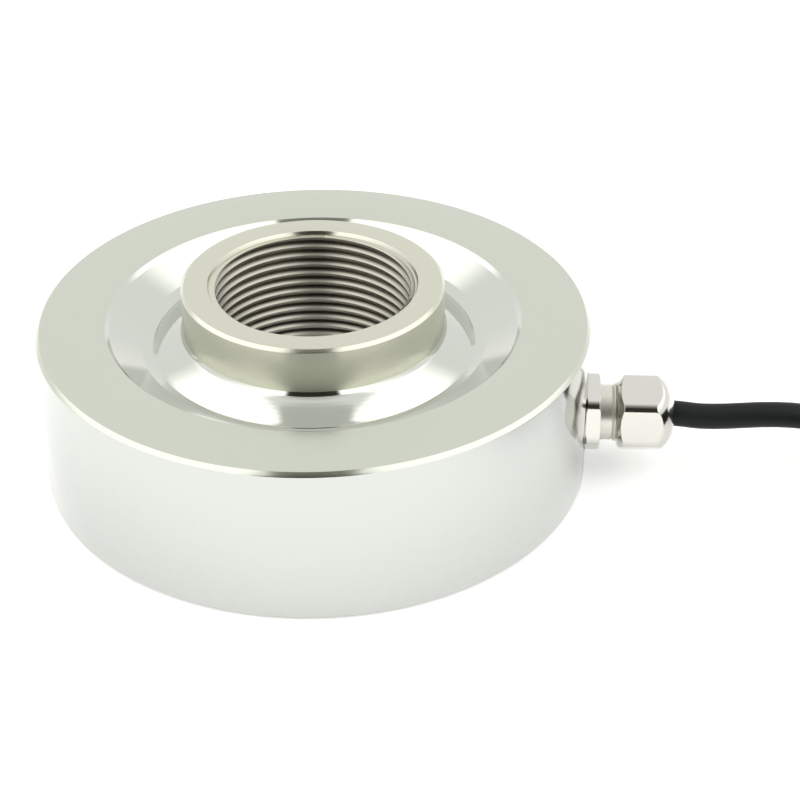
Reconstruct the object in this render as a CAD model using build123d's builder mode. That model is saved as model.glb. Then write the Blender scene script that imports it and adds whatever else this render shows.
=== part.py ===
from build123d import *
import os
from math import cos, pi, radians, sin, tan

# Ring load cell: a turned steel sensing ring with a threaded hub, a gauge cavity closed from below,
# a cable gland in the side wall and a cable wound into a coil.
# Millimetres, +Z up. The origin is the middle of the face that the ring stands on.
# The gland and the cable point along +X.

os.makedirs("parts", exist_ok=True)

# Sensing ring
ring_od = 105.0
ring_height = 31.5
ring_top_chamfer = 0.75
ring_foot_chamfer = 0.6
recess_od = 78.8
recess_chamfer = 0.75
outer_flank_share = 0.434
land_depth = 4.2
inner_flank_share = 0.409
inner_flank_r = 50.0
groove_depth = 5.05
hub_foot_od = 50.6
hub_foot_depth = 2.0
hub_foot_rise = 0.76
hub_od = 49.7
hub_rise = 7.5
hub_chamfer = 0.6

# Load thread through the hub, plain at its minor diameter
thread_d = 39.0
thread_pitch = 2.0
thread_depth_share = 0.54125
thread_minor_d = thread_d - 2 * thread_depth_share * thread_pitch
thread_mouth_gap = 0.35
thread_mouth_d = thread_d + 2 * thread_mouth_gap
thread_mouth_angle = 120.0

# Gauge cavity and its cover
cavity_middle_d = 66.5
cavity_width = 11.5
cavity_roof = 18.0
cavity_fillet = 1.5
cover_thickness = 1.5
cover_recess = 1.0
cover_ledge = 2.0
cover_gap = 0.05

# Strain gauges, board and wiring on the cavity's roof
gauge_angles = [45.0, 135.0, 225.0, 315.0]
gauge_width = 4.0
gauge_thickness = 0.15
gauge_gap = 0.4
gauge_edge_gap = 0.55
harness_d = 1.0
board_half_angle = 16.0
board_edge_gap = 0.95
board_thickness = 1.0
resistor_angles = [-12.0, -9.0, 9.0, 12.0]
resistor_length = 2.0
resistor_width = 0.6
resistor_height = 0.5
terminal_d = 1.5
terminal_height = 0.3
wire_d = 1.1
wire_spread = 1.7
wire_bend = 1.8
wire_reach = 2.6

# Cable gland, sizes along its axis from the spot face outwards
gland_height = 11.2
gland_thread_d = 12.0
gland_thread_length = 8.0
gland_thread_gap = 0.05
spot_face_d = 16.2
spot_face_depth = 1.1
washer_d = 15.5
washer_thickness = 0.8
washer_chamfer = 0.3
gland_af = 14.0
hex_edge_r = 1.6
flange_length = 2.7
flange_chamfer = 0.35
flange_turn = 42.6
gland_bore_d = 6.0
neck_d = 10.8
neck_length = 2.4
cap_thread_d = 11.4
cap_thread_reach = 5.6
cap_gap = 1.0
cap_length = 10.8
cap_turn = 38.0
cap_shoulder_d = 12.6
cap_shoulder_length = 1.7
cap_dome_length = 3.7
cap_dome_r = 7.0
cap_tip_d = 8.2
cap_cone_gap = 0.5
cap_hole_gap = 0.8
seal_d = 8.6
seal_length = 6.0
claw_d = 8.5
claw_tip_d = 7.5
claw_hold = 1.0
claw_slots = 8
claw_slot_width = 0.5
claw_slot_length = 2.2

# Cable, and its route from the cap's mouth down to the floor and into the coil, chosen by hand
cable_d = 5.0
cable_hole_d = 7.0
cable_exit_inset = 0.8
cable_inner_reach = 1.5
cable_straight = 1.7
cable_points = [
    (7.7, -0.3, 10.55),
    (21.7, 0.9, 11.1),
    (31.7, 2.4, 8.8),
    (41.7, 4.2, 5.4),
    (51.7, 5.9, 2.9),
    (63.9, 7.0, cable_d / 2),
    (75.7, 7.0, cable_d / 2),
]

# Coil of the cable that is put away, lying on the standing surface
coil_columns = 4
coil_rows = 4
coil_pitch = 5.2
coil_mean_d = 60.0
coil_start_angle = 90.0
coil_entry_arc = 40.0
coil_end_angle = 44.0
coil_free_arc = 134.0

# Twist tie round the coil
tie_angle = 60.0
tie_width = 4.0
tie_thickness = 0.6
tie_bite = 0.35
tie_tail_d = 1.8
tie_tail_length = 12.0
tie_tail_height = 11.0
tie_tail_sink = 0.2

# Far end of the cable: sleeve, wires and their tinned tips, in the coil's free top slot
sleeve_d = 5.2
sleeve_arc = 18.0
lead_low_side = 1.2
lead_low_drop = 1.55
lead_high_side = 0.65
lead_high_drop = 0.6
lead_arcs = {"red": 66.0, "black": 61.0, "green": 64.0, "white": 58.0}
shield_arc = 67.0
shield_d = 0.9
tip_d = 0.7
tip_arc = 9.0

# Places that follow from the sizes above
ring_r = ring_od / 2
hub_top = ring_height + hub_rise
minor_r = thread_minor_d / 2
mouth_depth = (thread_mouth_d - thread_minor_d) / 2 / tan(radians(thread_mouth_angle / 2))
cover_top = cover_recess + cover_thickness
hub_foot_z = ring_height - hub_foot_depth
recess_floor_r = recess_od / 2 - recess_chamfer
recess_width = recess_floor_r - hub_foot_od / 2
land_r = recess_floor_r - outer_flank_share * recess_width
groove_r = hub_foot_od / 2 + inner_flank_share * recess_width
cavity_inner_r = (cavity_middle_d - cavity_width) / 2
cavity_outer_r = (cavity_middle_d + cavity_width) / 2
roof_inner_r = cavity_inner_r + cavity_fillet
roof_outer_r = cavity_outer_r - cavity_fillet
roof_mid_r = (roof_inner_r + roof_outer_r) / 2
roof_half = (roof_outer_r - roof_inner_r) / 2
gauge_length = roof_half - harness_d / 2 - gauge_gap - gauge_edge_gap
board_width = 2 * (roof_half - board_edge_gap)
board_z = cavity_roof - board_thickness
terminal_z = board_z - terminal_height
jacket_end_x = cavity_outer_r - cable_inner_reach
spot_x = ring_r - spot_face_depth
shank_x = spot_x - gland_thread_length
flange_x = spot_x + washer_thickness
neck_x = flange_x + flange_length
cap_thread_x = neck_x + neck_length
cap_x = cap_thread_x + cap_gap
cap_tip_x = cap_x + cap_length
gland_end_x = cap_x + cap_thread_reach
claw_x = gland_end_x - claw_hold
seal_x = claw_x - seal_length
corner_r = gland_af / 2 / cos(pi / 6)
cap_bore_r = cap_thread_d / 2 + gland_thread_gap
cap_hole_r = cable_d / 2 + cap_hole_gap
cap_cone_x = gland_end_x + cap_cone_gap
claw_tip_x = cap_cone_x + cap_bore_r - claw_tip_d / 2
claw_corner_x = claw_tip_x - (claw_d - claw_tip_d) / 2
exit_x = cap_tip_x - cable_exit_inset
coil_mean_r = coil_mean_d / 2
coil_reach = (coil_columns - 1) * coil_pitch / 2
coil_half = coil_reach + cable_d / 2
coil_height = (coil_rows - 1) * coil_pitch + cable_d
outer_turn_r = coil_mean_r + coil_reach
slot_r = outer_turn_r - coil_pitch + cable_d / 2
top_slot_z = coil_height - coil_pitch
coil_x = exit_x + cable_points[-1][0]
coil_y = cable_points[-1][1] - outer_turn_r
gland_axis = Axis((0, 0, gland_height), (1, 0, 0))
coil_axis = Axis((coil_x, coil_y, 0), (0, 0, 1))


def across(x):
    """Plane square to the gland's axis at x, with its own x along +Y and its own y along +Z."""
    return Plane(origin=(x, 0, gland_height), x_dir=(0, 1, 0), z_dir=(1, 0, 0))


def upright(x, y, angle):
    """Plane through a vertical line, with its own x outwards at an angle and its own y up."""
    a = radians(angle)
    return Plane(origin=(x, y, 0), x_dir=(cos(a), sin(a), 0), z_dir=(sin(a), -cos(a), 0))


def hanging(angle, height):
    """Plane that faces down at a height, with its own x outwards at an angle round the bore."""
    a = radians(angle)
    return Plane(origin=(0, 0, height), x_dir=(cos(a), sin(a), 0), z_dir=(0, 0, -1))


def hexagon(turn):
    """Hexagon with rounded corners on the sketch's plane, turned round the gland's axis."""
    outline = RegularPolygon(gland_af / 2, 6, major_radius=False, rotation=180 - turn)
    return fillet(outline.vertices(), hex_edge_r)


def finish(piece, label):
    """Names a finished piece and writes it to its own file."""
    piece.part.label = label
    export_step(piece.part, f"parts/{label}.step")


# Sensing ring: one turned piece, with the flexing wall between the groove and the cavity
with BuildPart() as sensing_body:
    with BuildSketch(Plane.XZ):
        with BuildLine():
            Polyline(
                (minor_r, cover_recess + mouth_depth),
                (thread_mouth_d / 2, cover_recess),
                (cavity_inner_r - cover_ledge, cover_recess),
                (cavity_inner_r - cover_ledge, cover_top),
                (cavity_inner_r, cover_top),
                (cavity_inner_r, cavity_roof - cavity_fillet),
            )
            TangentArc(
                (cavity_inner_r, cavity_roof - cavity_fillet),
                (roof_inner_r, cavity_roof),
                tangent=(0, 1),
            )
            Line((roof_inner_r, cavity_roof), (roof_outer_r, cavity_roof))
            TangentArc(
                (roof_outer_r, cavity_roof),
                (cavity_outer_r, cavity_roof - cavity_fillet),
                tangent=(1, 0),
            )
            Polyline(
                (cavity_outer_r, cavity_roof - cavity_fillet),
                (cavity_outer_r, cover_top),
                (cavity_outer_r + cover_ledge, cover_top),
                (cavity_outer_r + cover_ledge, 0),
                (ring_r - ring_foot_chamfer, 0),
                (ring_r, ring_foot_chamfer),
                (ring_r, ring_height - ring_top_chamfer),
                (ring_r - ring_top_chamfer, ring_height),
                (recess_od / 2, ring_height),
                (recess_floor_r, ring_height - recess_chamfer),
                (land_r, ring_height - land_depth),
                (groove_r, ring_height - groove_depth),
            )
            RadiusArc(
                (groove_r, ring_height - groove_depth),
                (hub_foot_od / 2, hub_foot_z),
                -inner_flank_r,
            )
            Polyline(
                (hub_foot_od / 2, hub_foot_z),
                (hub_od / 2, hub_foot_z + hub_foot_rise),
                (hub_od / 2, hub_top - hub_chamfer),
                (hub_od / 2 - hub_chamfer, hub_top),
                (thread_mouth_d / 2, hub_top),
                (minor_r, hub_top - mouth_depth),
                (minor_r, cover_recess + mouth_depth),
            )
        make_face()
    revolve(axis=Axis.Z)
    with BuildSketch(across(spot_x)):
        Circle(spot_face_d / 2)
    extrude(amount=2 * spot_face_depth, mode=Mode.SUBTRACT)
    with BuildSketch(across(spot_x)):
        Circle(gland_thread_d / 2 + gland_thread_gap)
    extrude(amount=shank_x - spot_x, mode=Mode.SUBTRACT)
    with BuildSketch(across(spot_x)):
        Circle(cable_hole_d / 2)
    extrude(amount=roof_outer_r - spot_x, mode=Mode.SUBTRACT)
finish(sensing_body, "sensing_body")

# Cover: flat ring that closes the gauge cavity from below, let into ledges of ring and hub
with BuildPart() as bottom_cover:
    with BuildSketch(Plane.XY.offset(cover_recess)):
        Circle(cavity_outer_r + cover_ledge - cover_gap)
        Circle(cavity_inner_r - cover_ledge + cover_gap, mode=Mode.SUBTRACT)
    extrude(amount=cover_thickness)
finish(bottom_cover, "bottom_cover")

# Strain gauges: pairs on the roof, one near the hub and one near the ring at each angle
gauge_step = harness_d / 2 + gauge_gap + gauge_length / 2
gauge_number = 0
for gauge_angle in gauge_angles:
    for gauge_r in (roof_mid_r - gauge_step, roof_mid_r + gauge_step):
        gauge_number += 1
        with BuildPart() as strain_gauge:
            with BuildSketch(hanging(gauge_angle, cavity_roof)):
                with Locations((gauge_r, 0)):
                    Rectangle(gauge_length, gauge_width)
            extrude(amount=gauge_thickness)
        finish(strain_gauge, f"strain_gauge_{gauge_number}")

# Bridge board: a curved strip bonded to the roof above the cable's inner end
with BuildPart() as bridge_board:
    with BuildSketch(upright(0, 0, -board_half_angle)):
        with Locations((roof_mid_r, cavity_roof - board_thickness / 2)):
            Rectangle(board_width, board_thickness)
    revolve(axis=Axis.Z, revolution_arc=2 * board_half_angle)
finish(bridge_board, "bridge_board")

# Trimming resistors: small chips on the board, one node
with BuildPart() as trim_resistors:
    for resistor_angle in resistor_angles:
        with BuildSketch(hanging(resistor_angle, board_z)):
            with Locations((roof_mid_r, 0)):
                Rectangle(resistor_length, resistor_width)
        extrude(amount=resistor_height)
finish(trim_resistors, "trim_resistors")

# Harness: the bundle of fine wires on the roof that joins the gauges to the board
with BuildPart() as bridge_harness:
    with BuildSketch(upright(0, 0, board_half_angle)):
        with Locations((roof_mid_r, cavity_roof - harness_d / 2)):
            Circle(harness_d / 2)
    revolve(axis=Axis.Z, revolution_arc=360 - 2 * board_half_angle)
finish(bridge_harness, "bridge_harness")

# Inner wires: the four cores leave the jacket, turn up and end on terminals below the board
inner_wires = {
    "red": (wire_spread / 2, wire_spread / 2, wire_reach),
    "black": (-wire_spread / 2, wire_spread / 2, wire_reach),
    "green": (wire_spread / 2, -wire_spread / 2, wire_reach + wire_spread),
    "white": (-wire_spread / 2, -wire_spread / 2, wire_reach + wire_spread),
}
for colour, (wire_y, wire_rise, reach) in inner_wires.items():
    wire_start = (jacket_end_x, wire_y, gland_height + wire_rise)
    wire_corner = (jacket_end_x - reach, wire_y, gland_height + wire_rise)
    wire_end = (jacket_end_x - reach, wire_y, terminal_z)
    with BuildPart() as inner_wire:
        with BuildLine():
            FilletPolyline(wire_start, wire_corner, wire_end, radius=wire_bend)
        with BuildSketch(Plane(origin=wire_start, z_dir=(-1, 0, 0))):
            Circle(wire_d / 2)
        sweep()
    finish(inner_wire, f"inner_wire_{colour}")

# Solder terminals: one round pad at the end of each inner wire, one node
with BuildPart() as solder_terminals:
    for wire_y, wire_rise, reach in inner_wires.values():
        with BuildSketch(Plane.XY.offset(terminal_z)):
            with Locations((jacket_end_x - reach, wire_y)):
                Circle(terminal_d / 2)
        extrude(amount=terminal_height)
finish(solder_terminals, "solder_terminals")

# Gland washer: round metal seal in the spot face, under the gland's flange
with BuildPart() as gland_washer:
    with BuildSketch(across(spot_x)):
        Circle(washer_d / 2)
    extrude(amount=washer_thickness)
    chamfer(gland_washer.edges().group_by(Axis.X)[-1], washer_chamfer)
    with BuildSketch(across(spot_x)):
        Circle(gland_thread_d / 2 + gland_thread_gap)
    extrude(amount=washer_thickness, mode=Mode.SUBTRACT)
finish(gland_washer, "gland_washer")

# Gland body: hexagon flange, screwed shank towards the ring, neck and thread towards the cap
with BuildPart() as gland_body:
    with BuildSketch(across(flange_x)):
        hexagon(flange_turn)
    extrude(amount=flange_length)
    with BuildSketch(Plane.XZ):
        with BuildLine():
            Polyline(
                (flange_x, gland_height),
                (flange_x, gland_height + corner_r - 2 * flange_chamfer),
                (flange_x + flange_chamfer, gland_height + corner_r),
                (neck_x - flange_chamfer, gland_height + corner_r),
                (neck_x, gland_height + corner_r - 2 * flange_chamfer),
                (neck_x, gland_height),
                close=True,
            )
        make_face()
    revolve(axis=gland_axis, mode=Mode.INTERSECT)
    with BuildSketch(across(shank_x)):
        Circle(gland_thread_d / 2)
    extrude(amount=flange_x - shank_x)
    with BuildSketch(across(neck_x)):
        Circle(neck_d / 2)
    extrude(amount=neck_length)
    with BuildSketch(across(cap_thread_x)):
        Circle(cap_thread_d / 2)
    extrude(amount=gland_end_x - cap_thread_x)
    with BuildSketch(across(shank_x)):
        Circle(gland_bore_d / 2)
    extrude(amount=seal_x - shank_x, mode=Mode.SUBTRACT)
    with BuildSketch(across(seal_x)):
        Circle(seal_d / 2)
    extrude(amount=gland_end_x - seal_x, mode=Mode.SUBTRACT)
finish(gland_body, "gland_body")

# Gland seal: rubber sleeve that the cap presses onto the cable
with BuildPart() as gland_seal:
    with BuildSketch(across(seal_x)):
        Circle(seal_d / 2)
        Circle(cable_d / 2, mode=Mode.SUBTRACT)
    extrude(amount=seal_length)
finish(gland_seal, "gland_seal")

# Gland claw: slotted ring between seal and cap, with a cone that lies in the cap's cone
with BuildPart() as gland_claw:
    with BuildSketch(Plane.XZ):
        with BuildLine():
            Polyline(
                (claw_x, gland_height + cable_d / 2),
                (claw_x, gland_height + claw_d / 2),
                (claw_corner_x, gland_height + claw_d / 2),
                (claw_tip_x, gland_height + claw_tip_d / 2),
                (claw_tip_x, gland_height + cable_d / 2),
                close=True,
            )
        make_face()
    revolve(axis=gland_axis)
    with BuildSketch(across(claw_tip_x)):
        with PolarLocations((claw_d + cable_d) / 4, claw_slots):
            Rectangle(claw_d - cable_d, claw_slot_width)
    extrude(amount=-claw_slot_length, mode=Mode.SUBTRACT)
finish(gland_claw, "gland_claw")

# Gland cap: hexagon nut with a shoulder, a domed nose and a cone inside
with BuildPart() as gland_cap:
    with BuildSketch(across(cap_x)):
        hexagon(cap_turn)
    extrude(amount=cap_length)
    with BuildSketch(Plane.XZ):
        with BuildLine():
            Polyline(
                (cap_tip_x, gland_height + cap_tip_d / 2),
                (cap_tip_x, gland_height),
                (cap_x, gland_height),
                (cap_x, gland_height + cap_shoulder_d / 2),
                (cap_x + cap_shoulder_length, gland_height + corner_r),
                (cap_tip_x - cap_dome_length, gland_height + corner_r),
            )
            RadiusArc(
                (cap_tip_x - cap_dome_length, gland_height + corner_r),
                (cap_tip_x, gland_height + cap_tip_d / 2),
                cap_dome_r,
            )
        make_face()
    revolve(axis=gland_axis, mode=Mode.INTERSECT)
    with BuildSketch(Plane.XZ):
        with BuildLine():
            Polyline(
                (cap_x, gland_height),
                (cap_x, gland_height + cap_bore_r),
                (cap_cone_x, gland_height + cap_bore_r),
                (cap_cone_x + cap_bore_r - cap_hole_r, gland_height + cap_hole_r),
                (cap_tip_x, gland_height + cap_hole_r),
                (cap_tip_x, gland_height),
                close=True,
            )
        make_face()
    revolve(axis=gland_axis, mode=Mode.SUBTRACT)
finish(gland_cap, "gland_cap")

# Cable inside the gland: the jacket from the cavity to the cap's mouth
with BuildPart() as cable_inner_end:
    with BuildSketch(across(jacket_end_x)):
        Circle(cable_d / 2)
    extrude(amount=exit_x - jacket_end_x)
finish(cable_inner_end, "cable_inner_end")

# Free cable from the cap's mouth to the coil: straight runs joined by arcs as large as they allow
route_points = [
    Vector(exit_x, 0, gland_height),
    Vector(exit_x + cable_straight, 0, gland_height),
    *[Vector(exit_x + x, y, z) for x, y, z in cable_points],
]
bend_radii = []
for before, corner, after in zip(route_points, route_points[1:], route_points[2:]):
    run_in = corner - before
    run_out = after - corner
    half_turn = radians(run_in.get_angle(run_out)) / 2
    bend_radii.append(0.45 * min(run_in.length, run_out.length) / tan(half_turn))
with BuildPart() as cable_run:
    with BuildLine():
        route = FilletPolyline(*route_points, radius=bend_radii)
    with BuildSketch(Plane(origin=route @ 0, z_dir=route % 0)):
        Circle(cable_d / 2)
    sweep()
finish(cable_run, "cable_run")
run_volume = pi * cable_d**2 / 4 * route.length
print("cable bend radii", [round(r, 1) for r in bend_radii])
print("cable run length", round(route.length, 1))
print("cable run volume over section times length", round(cable_run.part.volume / run_volume, 5))

# Coil tie: flat twist tie squeezed round the turns, with its twisted tail
tie_inner_half = coil_half - tie_bite
tie_outer_half = tie_inner_half + tie_thickness
tie_corner_r = cable_d / 2 - tie_thickness
tie_middle = (coil_mean_r, tie_outer_half)
tie_tail_r = coil_mean_r + tie_outer_half + tie_tail_d / 2 - tie_tail_sink
with BuildPart() as coil_tie:
    with BuildSketch(upright(coil_x, coil_y, tie_angle)):
        with Locations(tie_middle):
            RectangleRounded(2 * tie_outer_half, 2 * tie_outer_half, tie_corner_r + tie_thickness)
            RectangleRounded(2 * tie_inner_half, 2 * tie_inner_half, tie_corner_r, mode=Mode.SUBTRACT)
    extrude(amount=tie_width / 2, both=True)
    with BuildSketch(upright(coil_x, coil_y, tie_angle)):
        with Locations((tie_tail_r, tie_tail_height)):
            Circle(tie_tail_d / 2)
    extrude(amount=tie_tail_length)
finish(coil_tie, "coil_tie")

# Cable coil: outer shape of the wound turns, open where the cable comes in and in its free top slot
with BuildPart() as cable_coil:
    with BuildSketch(upright(coil_x, coil_y, 0)):
        with Locations((coil_mean_r, coil_height / 2)):
            RectangleRounded(2 * coil_half, coil_height, cable_d / 2)
    revolve(axis=coil_axis)
    with BuildSketch(upright(coil_x, coil_y, coil_start_angle)):
        with Locations((slot_r, 0)):
            Rectangle(coil_pitch, coil_pitch, align=(Align.MIN, Align.MIN))
    revolve(axis=coil_axis, revolution_arc=coil_entry_arc, mode=Mode.SUBTRACT)
    with BuildSketch(upright(coil_x, coil_y, coil_end_angle - coil_free_arc)):
        with Locations((slot_r, top_slot_z)):
            Rectangle(coil_pitch, coil_pitch, align=(Align.MIN, Align.MIN))
    revolve(axis=coil_axis, revolution_arc=coil_free_arc, mode=Mode.SUBTRACT)
    add(coil_tie.part, mode=Mode.SUBTRACT)
finish(cable_coil, "cable_coil")


def coil_arc(side, height, end_angle, arc, diameter):
    """Round bar bent along the coil's outer turn, from end_angle on over an arc."""
    with BuildPart() as bar:
        with BuildSketch(upright(coil_x, coil_y, end_angle)):
            with Locations((outer_turn_r + side, height)):
                Circle(diameter / 2)
        revolve(axis=coil_axis, revolution_arc=arc)
    return bar


# End sleeve: shrunk over the end of the jacket
sleeve_z = top_slot_z + sleeve_d / 2
sleeve_end_angle = coil_end_angle - sleeve_arc
finish(coil_arc(0, sleeve_z, sleeve_end_angle, sleeve_arc, sleeve_d), "cable_end_sleeve")

# Flying leads: four insulated cores that lie along the coil's free slot
lead_places = {
    "red": (-lead_low_side, sleeve_z - lead_low_drop),
    "black": (lead_low_side, sleeve_z - lead_low_drop),
    "green": (-lead_high_side, sleeve_z - lead_high_drop),
    "white": (lead_high_side, sleeve_z - lead_high_drop),
}
for colour, (lead_side, lead_z) in lead_places.items():
    lead_arc = lead_arcs[colour]
    lead = coil_arc(lead_side, lead_z, sleeve_end_angle - lead_arc, lead_arc, wire_d)
    finish(lead, f"lead_{colour}")

# Shield drain: bare tinned wire that lies lowest, in the middle of the slot
shield_z = top_slot_z + shield_d / 2
shield = coil_arc(0, shield_z, sleeve_end_angle - shield_arc, shield_arc, shield_d)
finish(shield, "shield_drain_wire")

# Tinned tips: the bared ends of the four leads, one node
with BuildPart() as tinned_tips:
    for colour, (lead_side, lead_z) in lead_places.items():
        tip_angle = sleeve_end_angle - lead_arcs[colour] - tip_arc
        with BuildSketch(upright(coil_x, coil_y, tip_angle)):
            with Locations((outer_turn_r + lead_side, lead_z)):
                Circle(tip_d / 2)
        revolve(axis=coil_axis, revolution_arc=tip_arc)
finish(tinned_tips, "tinned_tips")
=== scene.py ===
# %% [markdown]
# Ring load cell, dressed for the camera
#
# A ring load cell measures the force on the stud that is screwed through its middle. It is a thick
# ring of stainless steel, turned on a lathe, with a thin flexing wall between the hub and the rim. A
# gland in the side lets the signal cable out. The CAD model of it is measured and true, but plain.
# This lesson dresses it: finer meshes for what the eye rests on, a finish for every piece, and a
# studio whose light shows polished metal well.

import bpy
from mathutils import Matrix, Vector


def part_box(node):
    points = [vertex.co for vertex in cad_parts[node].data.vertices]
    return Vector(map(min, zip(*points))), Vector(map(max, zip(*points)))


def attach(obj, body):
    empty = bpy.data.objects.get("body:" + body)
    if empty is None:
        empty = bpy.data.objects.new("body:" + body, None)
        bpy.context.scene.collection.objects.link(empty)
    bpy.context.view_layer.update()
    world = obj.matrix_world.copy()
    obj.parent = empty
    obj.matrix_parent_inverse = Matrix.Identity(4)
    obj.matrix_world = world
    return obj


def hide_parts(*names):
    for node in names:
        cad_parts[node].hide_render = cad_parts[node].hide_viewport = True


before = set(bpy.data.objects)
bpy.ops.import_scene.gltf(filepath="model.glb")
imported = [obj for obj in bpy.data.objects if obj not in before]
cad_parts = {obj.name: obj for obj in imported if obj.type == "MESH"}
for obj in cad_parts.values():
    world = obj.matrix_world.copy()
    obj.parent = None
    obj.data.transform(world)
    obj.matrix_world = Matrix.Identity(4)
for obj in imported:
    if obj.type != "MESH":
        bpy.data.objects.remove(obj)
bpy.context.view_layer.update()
print("nodes in the frame:", len(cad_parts))

# %% Libraries and units
from math import acos, atan2, cos, pi, radians, sin, sqrt, tan

import bmesh
import bpy
import numpy as np
from mathutils import Matrix, Vector

MM = 0.001
BODY = "root"
scene = bpy.context.scene
print("one unit of the scene is a metre, and sizes below are millimetres times", MM)

# %% [markdown]
# The camera
#
# The photo was taken from above and in front, close enough for some perspective. One could turn the
# camera by eye until the view looks right, but then no edge would lie where it should. Instead a
# pinhole camera was fitted to the edges of the ring, which gives its height, its distance and its
# lens. The gland points a little towards it, so the whole view is turned by a few degrees.

# %% Camera
IMAGE_WIDTH = 800
FOCAL_PIXELS = 2147
SENSOR_MM = 36.0
PITCH = radians(33.02)
ROLL = radians(-0.24)
TURN = radians(2.7)
CAMERA_PLACE = Vector((16.3, -350.3, 240.0)) * MM

forward = Vector((0, cos(PITCH), -sin(PITCH)))
level = Vector((1, 0, 0))
upward = Vector((0, sin(PITCH), cos(PITCH)))
right = cos(ROLL) * level + sin(ROLL) * upward
above = -sin(ROLL) * level + cos(ROLL) * upward
turned = Matrix.Rotation(TURN, 4, "Z")
aim = Matrix((right, above, -forward)).transposed().to_4x4()

camera_data = bpy.data.cameras.new("photo_camera")
camera_data.sensor_width = SENSOR_MM
camera_data.lens = FOCAL_PIXELS / IMAGE_WIDTH * SENSOR_MM
camera_data.clip_start = 0.01
camera = bpy.data.objects.new("photo_camera", camera_data)
camera.matrix_world = turned @ Matrix.Translation(CAMERA_PLACE) @ aim
scene.collection.objects.link(camera)
scene.camera = camera
print("lens", round(camera_data.lens, 1), "mm")

# %% [markdown]
# Colours and nodes
#
# Colours are picked as sRGB hex values, the way a colour picker shows them, but a shader wants linear
# light. One function turns one into the other. A second one adds a shader node, fills in its values
# and links what is already there, so that each material below reads like a recipe. A third starts a
# material, with the place on the object in metres: every pattern is laid out by that, and so it
# needs no UV map and has its real size everywhere.

# %% Helpers for colours and nodes
def linear(code):
    """Linear colour with alpha from an sRGB hex value such as #C0C0C0."""
    shares = [int(code[i : i + 2], 16) / 255 for i in (1, 3, 5)]
    return [s / 12.92 if s <= 0.04045 else ((s + 0.055) / 1.055) ** 2.4 for s in shares] + [1.0]


def add(tree, kind, values=None, **settings):
    """Adds a node. values fill or link its inputs by name or number, settings set its properties."""
    node = tree.nodes.new(kind)
    for key, value in settings.items():
        setattr(node, key, value)
    for key, value in (values or {}).items():
        if isinstance(value, bpy.types.NodeSocket):
            tree.links.new(value, node.inputs[key])
        else:
            node.inputs[key].default_value = value
    return node


def new_material(name):
    """Empty node material, its tree, and the place on the object in metres as a socket."""
    made = bpy.data.materials.new(name)
    made.use_nodes = True
    made.node_tree.nodes.clear()
    place = add(made.node_tree, "ShaderNodeTexCoord").outputs["Object"]
    return made, made.node_tree, place


print("mid grey #808080 is", round(linear("#808080")[0], 3), "in linear light")

# %% [markdown]
# Stainless steel, turned and polished
#
# The ring is turned from stainless steel bar. Its side was polished after turning, so it mirrors the
# studio softly. The flat faces keep the lathe's fine feed marks, which are circles round the axis:
# too fine to see one by one, they stretch each reflection across them. A picture of brushed metal
# would do that badly here, because the circles would not close. Anisotropy does it right: its
# tangent runs round the axis with the marks, and a quarter turn lets the blur run across them. The
# real marks are about 0.1 mm apart, too fine to show, so the bump draws them at 0.35 mm. Hands and
# polishing cloths leave patches of about 18 mm in which the gloss wanders a little. The thread's steel
# is painted darker than the rest, as painted shade for the dim light inside the bore. It also turns
# darker and browner towards the roots: this is partly a film of cutting oil and partly painted shade in
# the deep roots. That makes each turn read on its own.

# %% Steel as a recipe
FEED_MM = 0.35
FEED_DEPTH_MM = 0.01
POLISH_PATCH_MM = 18.0


def oil_and_shade_tint(tree, radius, bare, oily_and_shaded, start, end):
    """Colour that goes from bare to darker, browner metal between two distances from the axis in
    millimetres: a brown film left by cutting, and painted shade in the thread's roots.
    """
    depth = add(tree, "ShaderNodeMapRange", {
        "Value": radius, "From Min": start * MM, "From Max": end * MM,
    }, interpolation_type="SMOOTHSTEP")
    return add(tree, "ShaderNodeMix", {
        "Factor": depth.outputs[0], "A": linear(bare), "B": linear(oily_and_shaded),
    }, data_type="RGBA").outputs["Result"]


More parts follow.
